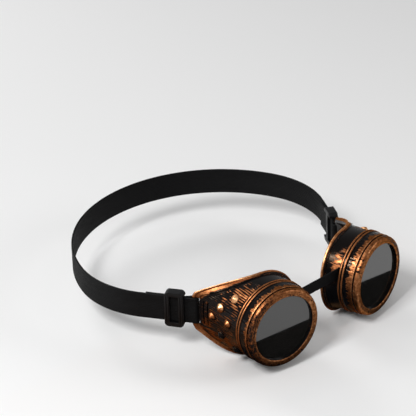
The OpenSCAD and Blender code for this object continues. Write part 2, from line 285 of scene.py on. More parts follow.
# %% Node tools
class Tree:
    """A node tree being written: sockets are made first, then nodes that take values or links."""

    def __init__(self, name, kind):
        self.tree = bpy.data.node_groups.new(name, kind)
        self.nodes = self.tree.nodes
        self.start = self.nodes.new("NodeGroupInput")
        self.end = self.nodes.new("NodeGroupOutput")

    def takes(self, name, value=None, kind="NodeSocketFloat"):
        socket = self.tree.interface.new_socket(name=name, in_out="INPUT", socket_type=kind)
        if value is not None:
            socket.default_value = value
        return self.start.outputs[name]

    def gives(self, name, value, kind="NodeSocketFloat"):
        self.tree.interface.new_socket(name=name, in_out="OUTPUT", socket_type=kind)
        self.link(value, self.end.inputs[name])

    def gives_mesh(self, last, material):
        """Gives the last node's mesh with its material on."""
        done = self.add("GeometryNodeSetMaterial", {"Geometry": last.outputs[0],
                                                    "Material": material})
        self.gives("Geometry", done.outputs[0], "NodeSocketGeometry")

    def add(self, kind, inputs=None, **settings):
        return add_node(self.tree, kind, inputs, **settings)

    def link(self, a, b):
        self.tree.links.new(a, b)

    def math(self, operation, *values):
        node = self.nodes.new("ShaderNodeMath")
        node.operation = operation
        for i, value in enumerate(values):
            put(self.tree, node.inputs[i], value)
        return node.outputs[0]

    def plus(self, a, b):
        return self.math("ADD", a, b)

    def minus(self, a, b):
        return self.math("SUBTRACT", a, b)

    def times(self, a, b):
        return self.math("MULTIPLY", a, b)


def live(sockets, name):
    """The socket of that name that the node's settings switch on."""
    return [s for s in sockets if s.name == name and s.enabled][0]


def put(tree, socket, value):
    """Links a socket to a value that is itself a socket, or else sets it."""
    if isinstance(value, bpy.types.NodeSocket):
        tree.links.new(value, socket)
    else:
        socket.default_value = value


def fill(tree, node, inputs):
    for key, value in inputs.items():
        put(tree, node.inputs[key], value)


def add_node(tree, kind, inputs=None, **settings):
    node = tree.nodes.new(kind)
    for key, value in settings.items():
        setattr(node, key, value)
    fill(tree, node, inputs or {})
    return node


def noise(tree, place, scale, detail=2.0, roughness=0.5, distortion=0.0):
    return add_node(tree, "ShaderNodeTexNoise", {
        "Vector": place, "Scale": scale, "Detail": detail, "Roughness": roughness,
        "Distortion": distortion}).outputs[0]


def mapped(tree, value, low, high, to_low=0.0, to_high=1.0, blend="LINEAR"):
    """Moves a value from one range to another and holds it at the ends."""
    return add_node(tree, "ShaderNodeMapRange", {
        "Value": value, "From Min": low, "From Max": high, "To Min": to_low,
        "To Max": to_high}, interpolation_type=blend).outputs[0]


def mixed(tree, factor, a, b):
    """A colour between two others."""
    mix = add_node(tree, "ShaderNodeMix", {"Factor": factor, "A": a, "B": b}, data_type="RGBA")
    return [s for s in mix.outputs if s.type == "RGBA"][0]


def bumped(tree, height, strength, distance):
    """The surface normal of a small relief."""
    return add_node(tree, "ShaderNodeBump", {
        "Height": height, "Strength": strength, "Distance": distance}).outputs[0]


def grow(tree, name, values, base=None):
    """Runs a Geometry Nodes tree once and returns what it grew as a plain mesh."""
    host = new_object(name, base or bpy.data.meshes.new(name))
    step = host.modifiers.new("grow", "NODES")
    step.node_group = tree
    for item in tree.interface.items_tree:
        if item.item_type == "SOCKET" and item.in_out == "INPUT" and item.name in values:
            step[item.identifier] = values[item.name]
    mesh = evaluated(host)
    mesh.name = name
    bpy.data.objects.remove(host)
    return mesh


# %% [markdown]
# The finish of the cups and rings is copper rubbed over glossy black: the painter wipes
# metallic paint over the raised places, and the hollows stay black. One node group gives
# this for every such piece. It takes a point in the cup's frame, and a number called wear
# that says how much copper a place gets. Noise drawn out along the lens axis breaks the
# copper into streaks, and coarser noise makes blotches. It gives back a mask, a colour, a
# roughness and a height, which each material feeds to its own shader.
# On the studs the wear number also carries painted light: a painted highlight on each cone's top
# and painted shade on the lower studs.

# %% Rubbed copper as a shader group
def rubbed_copper_group():
    t = Tree("rubbed_copper", "ShaderNodeTree")
    place = t.takes("Place", kind="NodeSocketVector")
    wear = t.takes("Wear", 0.5)
    streak = t.takes("Streak pitch", 1500.0)
    stretch = t.takes("Stretch", 0.12)
    blotch = t.takes("Blotch pitch", 260.0)
    streaky = t.takes("Streakiness", 1.0)
    blotchy = t.takes("Blotchiness", 0.7)
    shape = t.add("ShaderNodeCombineXYZ", {"X": 1.0, "Y": 1.0, "Z": stretch})
    pulled = t.add("ShaderNodeVectorMath", {0: place, 1: shape.outputs[0]}, operation="MULTIPLY")
    fine = noise(t.tree, pulled.outputs[0], streak, 4.0, 0.65, 0.3)
    coarse = noise(t.tree, place, blotch, 4.0, 0.6)
    speck = noise(t.tree, place, 3200.0)
    fine_part = t.times(t.minus(fine, 0.5), streaky)
    coarse_part = t.times(t.minus(coarse, 0.5), blotchy)
    amount = t.plus(t.plus(wear, fine_part), coarse_part)
    mask = mapped(t.tree, amount, 0.45, 0.56, blend="SMOOTHSTEP")
    tone = t.add("ShaderNodeValToRGB", {"Fac": mapped(t.tree, amount, 0.46, 1.0)})
    ramp = tone.color_ramp
    ramp.elements[0].position = 0.0
    ramp.elements[0].color = (0.065, 0.020, 0.007, 1)
    ramp.elements[1].position = 1.0
    ramp.elements[1].color = (0.66, 0.36, 0.18, 1)
    low = ramp.elements.new(0.3)
    low.color = (0.155, 0.053, 0.019, 1)
    high = ramp.elements.new(0.68)
    high.color = (0.32, 0.125, 0.048, 1)
    colour = mixed(t.tree, mask, (0.0035, 0.0035, 0.0042, 1), tone.outputs[0])
    rough = t.plus(t.times(mask, 0.26), t.math("MULTIPLY_ADD", speck, 0.12, 0.12))
    height = t.math("MULTIPLY_ADD", mask, 0.6, t.times(speck, 0.22))
    t.gives("Mask", mask)
    t.gives("Colour", colour, "NodeSocketColor")
    t.gives("Roughness", rough)
    t.gives("Height", height)
    return t.tree


RUBBED_COPPER = rubbed_copper_group()


# %% [markdown]
# A mirrored part needs mirrored material coordinates, so each material turns and centres
# the object's own coordinates with a Mapping node: the point then comes out in the cup's
# frame, with its third axis along the lens axis.

# %% Materials for the copper pieces
def new_material(name):
    material = bpy.data.materials.new(name)
    material.use_nodes = True
    tree = material.node_tree
    return material, tree, tree.nodes["Principled BSDF"]


def own_coordinates(tree):
    return add_node(tree, "ShaderNodeTexCoord").outputs["Object"]


def cup_coordinates(tree, side):
    """Object coordinates turned into a cup's frame, in metres."""
    centre = to_row([0, 0, 0], side)
    shift = add_node(tree, "ShaderNodeVectorMath", {0: own_coordinates(tree), 1: tuple(-centre)},
                     operation="ADD")
    unturn = add_node(tree, "ShaderNodeMapping", {"Vector": shift.outputs[0],
                                                  "Rotation": (0, 0, -side * TOE_OUT)})
    upright = add_node(tree, "ShaderNodeMapping", {"Vector": unturn.outputs[0],
                                                   "Rotation": (math.radians(-90), 0, 0)})
    return upright.outputs[0]


def painted(tree, name):
    """A number that paint() stored on the corners."""
    return add_node(tree, "ShaderNodeAttribute", attribute_name=name).outputs["Fac"]


def rubbed_material(name, side, streak=1500.0, stretch=0.12, blotch=260.0, streaky=1.0,
                    blotchy=0.7, bump=0.0001):
    material, tree, shader = new_material(name)
    group = add_node(tree, "ShaderNodeGroup", {
        "Place": cup_coordinates(tree, side), "Wear": painted(tree, "wear"),
        "Streak pitch": streak, "Stretch": stretch, "Blotch pitch": blotch,
        "Streakiness": streaky, "Blotchiness": blotchy}, node_tree=RUBBED_COPPER)
    fill(tree, shader, {
        "Base Color": group.outputs["Colour"], "Metallic": group.outputs["Mask"],
        "Roughness": group.outputs["Roughness"],
        "Normal": bumped(tree, group.outputs["Height"], 0.7, bump),
        "Specular IOR Level": 0.12, "Specular Tint": (1.0, 0.66, 0.44, 1)})
    return material


# %% [markdown]
# An eye cup is one moulding: a threaded neck for the ring, a collar with two raised beads,
# and a shell that starts round, squares up and flares towards the temple, drops over the
# cheek and ends in a rolled rim. Every cross-section follows the same formulas, so the
# whole cup is one closed outline swept round the lens axis, with the outline worked out
# anew at every angle. A lathe alone could not do this, because the rim follows the face.

# %% Shape of the shell
def drawn_share(depth):
    return np.clip((depth - COLLAR_BACK) / (TEMPLE_DEPTH - COLLAR_BACK), 0, 1)


def skin(around, depth, out):
    """Point on the shell: angle in degrees, depth behind the ring's front, distance outside."""
    a = np.radians(around)
    share = drawn_share(depth)
    shift = TEMPLE_SQUARE * share ** SQUARE_POWER
    r = CUP_R - shift + out
    flare = TEMPLE_FLARE * share ** FLARE_POWER * np.maximum(0, np.cos(a))
    drop = CHEEK_DROP * np.sin(np.pi * share ** DROP_POWER) * np.maximum(0, -np.sin(a))
    t = shift * np.clip(np.cos(a) / FLAT_WIDE, -1, 1) + r * np.cos(a) + flare
    u = CORNER_RISE * shift * np.clip(np.sin(a) / FLAT_HIGH, -1, 1) + r * np.sin(a) - drop
    return np.stack([t, u, -depth + 0 * t], -1)


def rear_edge(around):
    c = np.cos(np.radians(around))
    temple = np.minimum(1, EDGE_FULL * np.maximum(0, c) ** TEMPLE_POWER)
    nose = np.maximum(0, -c) ** NOSE_POWER
    return BROW_DEPTH + (TEMPLE_DEPTH - BROW_DEPTH) * temple + (NOSE_DEPTH - BROW_DEPTH) * nose


def rim(around):
    """Width of the rim with its step, widest above the temple."""
    a = np.radians(around)
    return RIM_WIDTH + RIM_WIDEN * (2 * np.maximum(0, np.cos(a)) * np.maximum(0, np.sin(a))) ** 2


def skin_normal(around, depth):
    round_it = skin(around + 0.5, depth, 0) - skin(around - 0.5, depth, 0)
    along_it = skin(around, depth + 0.5, 0) - skin(around, depth - 0.5, 0)
    n = np.cross(along_it, round_it)
    return n / np.linalg.norm(n, axis=-1, keepdims=True)


def signed_angle(around):
    return (around + 180) % 360 - 180


def panel_share(around, depth):
    """1 on the hatched side panel, fading to 0 at its border."""
    a = signed_angle(around)
    e = rear_edge(around)
    front = np.clip((depth - 17.2) / 1.2, 0, 1)
    back = np.clip((e - rim(a) - 2.2 - depth) / 1.2, 0, 1)
    top = np.clip((80 - a) / 8, 0, 1)
    bottom = np.clip((a + 62) / 10, 0, 1)
    return front * back * top * bottom


def patchy(x, y, seed):
    """Smooth noise from 0 to 1 on a grid of cells one unit wide."""
    i, j = np.floor(x), np.floor(y)
    fx, fy = x - i, y - j
    fx, fy = fx * fx * (3 - 2 * fx), fy * fy * (3 - 2 * fy)

    def chance(p, q):
        v = np.sin(p * 127.1 + q * 311.7 + seed * 74.7) * 43758.5453
        return v - np.floor(v)

    low = chance(i, j) * (1 - fx) + chance(i + 1, j) * fx
    high = chance(i, j + 1) * (1 - fx) + chance(i + 1, j + 1) * fx
    return low * (1 - fy) + high * fy


def hatch(around, depth):
    """Height of the hatching, from -1 to 1: uneven grooves that run back from the collar."""
    a = signed_angle(around) + 3 * patchy(signed_angle(around) / 18, depth / 11, 1)
    lines = np.clip(2 * np.sin(2 * np.pi * a / 3.3), -1, 1)
    long_marks = 2 * patchy(a / 1.65, depth / 6, 2) - 1
    short_marks = 2 * patchy(a / 2.9, depth / 3.2, 3) - 1
    return np.clip(0.45 * lines + 0.6 * long_marks + 0.5 * short_marks, -1, 1)


# %% The cup's outline at one angle
HATCH_HEIGHT = 0.1


def round_points(around, pairs):
    """Points of a turned profile: pairs of radius and depth, shape (angles, points, 3)."""
    a = np.radians(around)[:, None]
    r = np.array([p[0] for p in pairs])[None]
    d = np.array([p[1] for p in pairs])[None]
    return np.stack([r * np.cos(a), r * np.sin(a), -d + 0 * a], -1)


def thread(around, depth, side):
    """Depth of the screw thread's groove, as a share; right-handed on both sides."""
    phase = (depth / THREAD_PITCH + side * around / 360.0) % 1.0
    return np.clip(THREAD_STEEP * (0.5 - np.abs(phase - 0.5)), 0, 1)


def bead(centre, n):
    return [(COLLAR_R + 0.1 + BEAD_R * math.sin(math.pi * i / n),
             centre - BEAD_R * math.cos(math.pi * i / n)) for i in range(n + 1)]


def cup_outline(around, side):
    """The closed outline at each angle, shape (angles, points, 3)."""
    parts = [round_points(around, [(BORE_R, NECK_FRONT), (NECK_R - 0.4, NECK_FRONT)])]
    column = around[:, None]
    depths = np.linspace(NECK_FRONT + 0.4, COLLAR_FRONT - 0.3, 22)[None]
    a = np.radians(column)
    r = NECK_R - THREAD_CUT * thread(column, depths, side)
    parts.append(np.stack([r * np.cos(a), r * np.sin(a), -depths + 0 * a], -1))
    collar = [(NECK_R, COLLAR_FRONT), (COLLAR_R - 0.1, COLLAR_FRONT)]
    collar += bead(COLLAR_FRONT + BEAD_R + 0.2, 8)
    collar += bead(COLLAR_BACK - BEAD_R - 0.2, 8)
    collar += [(COLLAR_R - 0.05, COLLAR_BACK), (CUP_R + 0.08, COLLAR_BACK + 0.15)]
    parts.append(round_points(around, collar))
    e = rear_edge(column)
    wide = rim(column)
    front = COLLAR_BACK + 0.6
    depth = front + (e - wide - front) * np.linspace(0, 1, 38)[None]
    relief = HATCH_HEIGHT * hatch(column, depth) * panel_share(column, depth)
    parts.append(skin(column, depth, relief))
    middle = STEP_END + (wide - STEP_END - STEP_START) / 2
    for back, out in ((wide - 0.1, 0.5), (wide - STEP_START, STEP_UP), (middle, STEP_UP),
                      (STEP_END, STEP_UP), (STEP_END - 0.3, 1.1)):
        parts.append(skin(column, e - back, out))
    for i in range(14):
        roll = math.radians(20 + 210 * i / 13)
        parts.append(skin(column, e - LIP_R - LIP_R * math.cos(roll),
                          STEP_UP + LIP_R * math.sin(roll)))
    for back, out in ((0.95, -1.1), (1.5, -1.7), (2.2, -CUP_WALL)):
        parts.append(skin(column, e - back, out))
    inner = e - 3
    depth = inner + (COLLAR_BACK + 0.4 - inner) * np.linspace(0, 1, 14)[None]
    parts.append(skin(column, depth, -CUP_WALL))
    parts.append(round_points(around, [(BORE_R + 0.5, COLLAR_BACK), (BORE_R, COLLAR_BACK - 0.5)]))
    parts.append(round_points(around, [(BORE_R, 13.0), (BORE_R, 9.5)]))
    return np.concatenate(parts, 1)


# %% [markdown]
# Three slots cross the temple wall: a tall one for the elastic, which folds round a bar
# there, and two narrow ones in front of it. The band over the nose enters through a slot in
# the inner wall. They are cut with boxes, because a Boolean keeps the wall's thickness.

# %% Cutting boxes and the strap bar
STRAP_W = 20.0
STRAP_T = 1.4
STRAP_GAP = 0.25
OPENING_PLAY = 0.8
STRAP_BAR_R = 1.1
VENT_W = 1.2
VENT_H = 18.5
FIRST_BAR = 2.9
SECOND_BAR = 2.3
BRIDGE_H = 8.5
BRIDGE_T = 1.2
BRIDGE_Z = 9.6
BRIDGE_BACK = 12.9
KEEPER_R = 1.2
KEEPER_PLAY = 0.1
BAR_INSET = 0.2
STUD_R = 3.2
STUD_H = 2.4
REAR_STUD_GAP = 0.7
SEAT_PAD = 0.3
BAR_DEPTH = TEMPLE_DEPTH - STRAP_BAR_R - BAR_INSET
FOLD_R = STRAP_BAR_R + STRAP_GAP + STRAP_T / 2
OPENING_FRONT = BAR_DEPTH - FOLD_R - STRAP_T / 2 - OPENING_PLAY
OPENING_H = STRAP_W + 2 * OPENING_PLAY
FIRST_VENT = OPENING_FRONT - FIRST_BAR - VENT_W
SECOND_VENT = FIRST_VENT - SECOND_BAR - VENT_W
FRONT_ROW = 26.4
MIDDLE_ROW = 35.6
REAR_ROW = SECOND_VENT - REAR_STUD_GAP - STUD_R
STUD_PLACES = [(41, FRONT_ROW), (3, FRONT_ROW), (-41, FRONT_ROW),
               (18, MIDDLE_ROW), (-18, MIDDLE_ROW), (0, REAR_ROW)]
BAR_X = float(skin(np.array([0.0]), np.array([BAR_DEPTH]), -CUP_WALL / 2)[0, 0])


def box_mesh(low, high, place=None):
    """A box between two corners; place turns its corners into the shared frame."""
    corners = np.array([[(low, high)[i][0], (low, high)[j][1], (low, high)[k][2]]
                        for i in (0, 1) for j in (0, 1) for k in (0, 1)], float)
    faces = [(0, 1, 3, 2), (4, 6, 7, 5), (0, 4, 5, 1), (2, 3, 7, 6), (0, 2, 6, 4), (1, 5, 7, 3)]
    points = place(corners) if place else corners * MM
    return outward(mesh_from("box", points, faces))


def temple_cutters(side):
    reach = CUP_R + TEMPLE_FLARE + RIM_PROUD + 10
    slots = [(OPENING_FRONT, TEMPLE_DEPTH + 1, OPENING_H),
             (FIRST_VENT, FIRST_VENT + VENT_W, VENT_H),
             (SECOND_VENT, SECOND_VENT + VENT_W, VENT_H)]
    return [box_mesh((CUP_R / 2, -h / 2, -back), (reach, h / 2, -front),
                     lambda p: to_row(p, side)) for front, back, h in slots]


BRIDGE_Y = -LENS_REACH + BRIDGE_BACK
KEEPER_LOOP_R = KEEPER_R + KEEPER_PLAY + BRIDGE_T
KEEPER_IN = math.sqrt((BORE_R - 0.3) ** 2 - (BRIDGE_Z + BRIDGE_H / 2) ** 2) - KEEPER_LOOP_R
KEEPER_X = LENS_OFFSET - (KEEPER_IN + BRIDGE_BACK * math.sin(TOE_OUT)) / math.cos(TOE_OUT)


def nose_cutter(side):
    thick = BRIDGE_T + 0.5
    tall = BRIDGE_H + 0.6
    ends = sorted((0.0, side * KEEPER_X))
    return box_mesh((ends[0], BRIDGE_Y - thick / 2, BRIDGE_Z - tall / 2),
                    (ends[1], BRIDGE_Y + thick / 2, BRIDGE_Z + tall / 2))


def rod(centre, axis, r, length):
    """Points and faces of a rod with rounded ends."""
    steps = 32
    round_end = 0.25
    axis = np.asarray(axis, float)
    axis /= np.linalg.norm(axis)
    side = np.cross(axis, [0.3, 0.2, 0.9])
    side /= np.linalg.norm(side)
    other = np.cross(axis, side)
    half = length / 2
    profile = [(0.0, -half), (r - round_end, -half), (r, -half + round_end),
               (r, half - round_end), (r - round_end, half), (0.0, half)]
    a = np.linspace(0, 2 * np.pi, steps, endpoint=False)[:, None]
    rr = np.array([p[0] for p in profile])[None]
    zz = np.array([p[1] for p in profile])[None]
    points = (np.asarray(centre) + (rr * np.cos(a))[..., None] * side
              + (rr * np.sin(a))[..., None] * other + (zz + 0 * a)[..., None] * axis)
    return points.reshape(-1, 3), grid_faces(steps, len(profile), True, False)


# %% How much copper each place on a cup gets
def near(value, centre, width):
    return np.exp(-((value - centre) / width) ** 2)


SHELL_WEAR = 0.18
INSIDE_WEAR = 0.10


def cup_wear(points):
    """Wear at points in a cup's frame, from where the paint was rubbed on the real cups."""
    t, u, w = points[:, 0], points[:, 1], points[:, 2]
    depth = -w
    a = np.degrees(np.arctan2(u, t))
    r = np.hypot(t, u)
    e = rear_edge(a)
    wide = rim(a)
    panel = panel_share(a, depth)
    ridge = hatch(a, depth) * panel
    upper = near(a, 58, 24) * near(depth, 19, 9)
    outer_side = np.abs(a) < 95
    lower = np.clip((-a - 5) / 25, 0, 1) * outer_side
    studs = sum(near(a, p[0], 9) * near(depth, p[1], 4.5) for p in STUD_PLACES)
    bars = np.clip((depth - 44.5) / 3, 0, 1) * (np.abs(a) < 24)
    brown = lower * panel * (2 * patchy(a / 11, depth / 8, 21) - 1)
    wear = (SHELL_WEAR + 0.05 * panel + 0.28 * upper + 0.28 * lower + 0.22 * brown
            + 0.10 * np.minimum(studs, 1) + 0.2 * bars
            + (0.42 - 0.28 * lower) * ridge * (1 - bars))
    quiet = (panel < 0.3) & outer_side & (depth > COLLAR_BACK + 3) & (a > -20)
    wear = np.where(quiet, 0.16, wear)
    nose = np.abs(a) > 98
    scuffs = 2 * patchy(a / 1.8, depth / 3.5, 4) - 1
    rubbed = ((0.48 + 0.26 * scuffs) * near(a, 146, 28) * near(depth, 18.5, 6.5)
              + 0.14 * near(a, -150, 30))
    wear = np.where(nose, SHELL_WEAR + rubbed, wear)
    outer = np.hypot(*(skin(a, np.minimum(depth, e), 0)[:, :2]).T)
    inside = r < outer - 0.7
    on_rim = (depth > e - wide - 0.1) & ~inside
    lip = np.clip((r - outer - STEP_UP) / LIP_R, 0, 1)
    flat = 0.70 - 0.40 * np.clip((np.abs(a) - 85) / 15, 0, 1)
    wear = np.where(on_rim, flat + (0.92 - flat) * lip, wear)
    wear = np.where(on_rim & (depth < e - wide + 0.3), 0.45, wear)
    on_collar = (depth < COLLAR_BACK + 0.3) & (depth > COLLAR_FRONT - 0.1)
    proud = np.clip((r - COLLAR_R - 0.3) / (0.5 * BEAD_R), 0, 1)
    wear = np.where(on_collar & (r > COLLAR_R - 1), 0.20 + 0.56 * proud, wear)
    wear = np.where(depth < COLLAR_FRONT - 0.1, 0.12, wear)
    return np.where(inside & (depth > COLLAR_BACK - 0.5), INSIDE_WEAR, wear)


# %% Build both cups
def make_cup(side_name):
    """One cup, with fine steps round the hatched panel and wider ones elsewhere."""
    side = SIDES[side_name]
    start, stop = -64, 82
    around = np.concatenate([np.arange(start, stop, 0.35), np.arange(stop, start + 360, 1.2)])
    outline = cup_outline(around, side)
    shell = outward(mesh_from("shell", to_row(outline.reshape(-1, 3), side),
                              grid_faces(*outline.shape[:2])))
    name = side_name + "_cup_moulding"
    cup = new_object(name, shell)
    cut(cup, temple_cutters(side) + [nose_cutter(side)])
    bar_points, bar_faces = rod((BAR_X, 0, -BAR_DEPTH), (0, 1, 0), STRAP_BAR_R,
                                OPENING_H + 1.6)
    bar = outward(mesh_from("bar", to_row(bar_points, side), bar_faces))
    cup.data = join(name, [cup.data, bar])
    soften(cup.data)
    paint(cup.data, "wear", cup_wear(to_cup(corners_of(cup.data), side)))
    cup.data.materials.clear()
    cup.data.materials.append(rubbed_material(side_name + "_cup_copper", side,
                                              streaky=0.6, blotchy=0.5))
    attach(cup, "frame")
    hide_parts(side_name + "_eye_cup")
    print(name, "faces:", len(cup.data.polygons))


for name in SIDES:
    make_cup(name)

# %% [markdown]
# The lens ring is turned: a rounded bezel, a groove, and a grip band with 48 shallow flutes.
# Its shape follows a rule, so Geometry Nodes grow it. A grid is bent round the axis: one
# direction picks a corner of the profile, the other is the angle. The same tree then
# presses in the flutes and the inner thread, from sizes that are named inputs.

# %% A lathe tree with flutes and a thread
def lathe_tree():
    t = Tree("fluted_lathe", "GeometryNodeTree")
    profile = t.takes("Profile", kind="NodeSocketObject")
    corners = t.takes("Corners", 10, "NodeSocketInt")
    around = t.takes("Around", 64, "NodeSocketInt")
    flutes = t.takes("Flutes", 0.0)
    flute_cut = t.takes("Flute depth", 0.0)
    flute_low = t.takes("Flute back", 0.0)
    flute_high = t.takes("Flute front", 0.0)
    flute_r = t.takes("Flute radius", 1.0)
    pitch = t.takes("Thread pitch", 1.0)
    thread_cut = t.takes("Thread depth", 0.0)
    thread_r = t.takes("Thread radius", 0.0)
    material = t.takes("Material", kind="NodeSocketMaterial")
    grid = t.add("GeometryNodeMeshGrid", {
        "Size X": 1.0, "Size Y": 1.0, "Vertices X": t.plus(around, 1.0), "Vertices Y": corners})
    where = t.add("ShaderNodeSeparateXYZ", {0: t.add("GeometryNodeInputPosition").outputs[0]})
    turn = t.plus(where.outputs[0], 0.5)
    angle = t.times(turn, math.tau)
    row = t.math("ROUND", t.times(t.plus(where.outputs[1], 0.5), t.minus(corners, 1.0)))
    info = t.add("GeometryNodeObjectInfo", {"Object": profile})
    sample = t.add("GeometryNodeSampleIndex", {"Geometry": info.outputs["Geometry"], "Index": row},
                   data_type="FLOAT_VECTOR", domain="POINT")
    t.link(t.add("GeometryNodeInputPosition").outputs[0], live(sample.inputs, "Value"))
    corner = t.add("ShaderNodeSeparateXYZ", {0: live(sample.outputs, "Value")})
    r, z = corner.outputs[0], corner.outputs[2]
    wave = t.math("MAXIMUM", 0.0, t.math("COSINE", t.times(angle, flutes)))
    on_band = t.times(t.math("GREATER_THAN", z, flute_low), t.math("LESS_THAN", z, flute_high))
    on_band = t.times(on_band, t.math("GREATER_THAN", r, flute_r))
    pressed = t.times(t.times(wave, flute_cut), on_band)
    climb = t.math("FRACT", t.minus(turn, t.math("DIVIDE", z, pitch)))
    tent = t.minus(0.5, t.math("ABSOLUTE", t.minus(climb, 0.5)))
    groove = t.math("MINIMUM", 1.0, t.times(THREAD_STEEP, tent))
    on_thread = t.math("LESS_THAN", t.math("ABSOLUTE", t.minus(r, thread_r)), 1e-6)
    grooved = t.times(t.times(groove, thread_cut), on_thread)
    radius = t.plus(t.minus(r, pressed), grooved)
    bent = t.add("ShaderNodeCombineXYZ", {"X": t.times(radius, t.math("COSINE", angle)),
                                          "Y": t.times(radius, t.math("SINE", angle)), "Z": z})
    placed = t.add("GeometryNodeSetPosition", {"Geometry": grid.outputs[0],
                                               "Position": bent.outputs[0]})
    closed = t.add("GeometryNodeMergeByDistance", {"Geometry": placed.outputs[0],
                                                   "Distance": 1e-7})
    t.gives_mesh(closed, material)
    return t.tree


LATHE = lathe_tree()


def turned(name, profile, material, around=64, closed=True, **values):
    """A turned mesh on the local Z axis from (radius, height) pairs in millimetres."""
    pairs = list(profile) + ([profile[0]] if closed else [])
    guide = new_object("profile", mesh_from("profile", [(r * MM, 0, h * MM) for r, h in pairs], []))
    inputs = {"Profile": guide, "Corners": len(pairs), "Around": around, "Material": material}
    inputs.update(values)
    mesh = grow(LATHE, name, inputs)
    bpy.data.objects.remove(guide)
    return outward(mesh)


# %% [markdown]
# The grip's copper comes from a wipe of the brush from the front edge backwards: the lands
# between the flutes took more paint than the flutes, and the streaks end at uneven lengths.

# %% Build both lens rings
FLUTES = 48
FLUTE_DEPTH = 0.1
GRIP_FRONT = BEZEL_LEN + GROOVE_LEN


def arc(centre, r, start, stop, n):
    """Points of an arc between two angles in degrees, n steps."""
    angles = [math.radians(start + (stop - start) * i / n) for i in range(n + 1)]
    return [np.array([centre[0] + r * math.cos(a), centre[1] + r * math.sin(a)]) for a in angles]


def ring_profile():
    inner_round, outer_round = 0.7, 2.3
    points = [(VIEW_R, -LIP_DEPTH)]
    points += arc((VIEW_R + inner_round, -inner_round), inner_round, 180, 90, 8)
    face = np.linspace(VIEW_R + inner_round, BEZEL_R - outer_round, 9)[1:-1]
    points += [(r, 0.0) for r in face]
    points += arc((BEZEL_R - outer_round, -outer_round), outer_round, 90, 0, 14)
    points += [(BEZEL_R, -BEZEL_LEN + 0.15), (BEZEL_R - 0.12, -BEZEL_LEN),
               (BEZEL_R - 0.7, -BEZEL_LEN - 0.15), (BEZEL_R - 0.7, -BEZEL_LEN - 0.85)]
    points += arc((GRIP_R - 0.42, -BEZEL_LEN - 1.32), 0.42, 100, -40, 8)
    band = [-GRIP_FRONT - (RING_DEPTH - 0.5 - GRIP_FRONT) * i / 12 for i in range(13)]
    points += [(GRIP_R, h) for h in band]
    points += arc((GRIP_R - 0.45, -RING_DEPTH + 0.45), 0.45, -10, -90, 4)
    bore = NECK_R + NECK_GAP
    points += [(bore, -RING_DEPTH)]
    points += [(bore, -RING_DEPTH + 0.3 + (RING_DEPTH - NECK_FRONT - 0.5) * i / 20)
               for i in range(21)]
    points += [(bore, -NECK_FRONT), (SEAT_R, -NECK_FRONT), (SEAT_R, -LIP_DEPTH)]
    return points


def ring_wear(points):
    """Wear on a ring: bright bezel, black groove, streaks back from the grip's front edge."""
    t, u, w = points[:, 0], points[:, 1], points[:, 2]
    a = np.arctan2(u, t)
    r = np.hypot(t, u)
    band = np.clip((w + RING_DEPTH) / (RING_DEPTH - GRIP_FRONT), 0, 1)
    land = -np.cos(FLUTES * a)
    turn = np.degrees(a) % 360
    nasal = near(turn, 165, 75)
    strokes = patchy(turn / 1.2, 0 * turn, 5)
    clumps = patchy(turn / 3.7, 0 * turn, 6)
    length = 0.28 * nasal + 0.08 + 0.38 * clumps + 0.30 * strokes + 0.07 * land
    wear = 0.10 + (0.37 + 0.08 * nasal + 0.24 * strokes) * np.clip((band - 1 + length) / 0.22, 0, 1)
    wear = np.where(w > -GRIP_FRONT - 0.3, 0.55, wear)
    wear = np.where(w > -GRIP_FRONT, 0.80, wear)
    groove = (w > -BEZEL_LEN - 1.0) & (w < -BEZEL_LEN + 0.05)
    wear = np.where(groove, 0.08 + 0.5 * patchy(turn / 1.6, 0 * turn, 9), wear)
    bezel = w > -BEZEL_LEN + 0.05
    rubbed_off = near(signed_angle(turn), 5, 80) * np.clip((r - VIEW_R - 1) / 0.8, 0, 1)
    chips = patchy(turn / 2.4, (r - VIEW_R) / 0.9, 8)
    streaks = patchy(turn / 9, (r - VIEW_R) / 0.5, 13)
    pits = patchy(turn / 1.9, (r - VIEW_R) / 0.7, 11) > 0.84
    face = 0.66 + 0.20 * chips - (0.42 * streaks + 0.30 * chips - 0.1) * rubbed_off - 0.35 * pits
    wear = np.where(bezel, face, wear)
    wear = np.where(r < VIEW_R + 0.1, 0.35, wear)
    return np.where((r < GRIP_R - 1.5) & (w < -BEZEL_LEN), 0.05, wear)


def make_ring(side_name):
    side = SIDES[side_name]
    name = side_name + "_ring_turned"
    material = rubbed_material(side_name + "_ring_copper", side, streak=2400.0, stretch=0.16,
                               blotch=420.0, streaky=0.8, bump=0.00014)
    mesh = turned(name, ring_profile(), material, around=640,
                  **{"Flutes": float(FLUTES), "Flute depth": FLUTE_DEPTH * MM,
                     "Flute back": (-RING_DEPTH - 1) * MM, "Flute front": (-GRIP_FRONT - 0.3) * MM,
                     "Flute radius": (GRIP_R - 0.5) * MM, "Thread pitch": side * THREAD_PITCH * MM,
                     "Thread depth": THREAD_CUT * MM, "Thread radius": (NECK_R + NECK_GAP) * MM})
    mesh.vertices.foreach_set("co", to_row(corners_of(mesh) / MM, side).ravel())
    outward(mesh)
    soften(mesh, 40)
    paint(mesh, "wear", ring_wear(to_cup(corners_of(mesh), side)))
    ring = new_object(name, mesh)
    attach(ring, side_name + "_ring")
    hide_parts(side_name + "_lens_ring")
    print(name, "faces:", len(mesh.polygons))


for name in SIDES:
    make_ring(name)
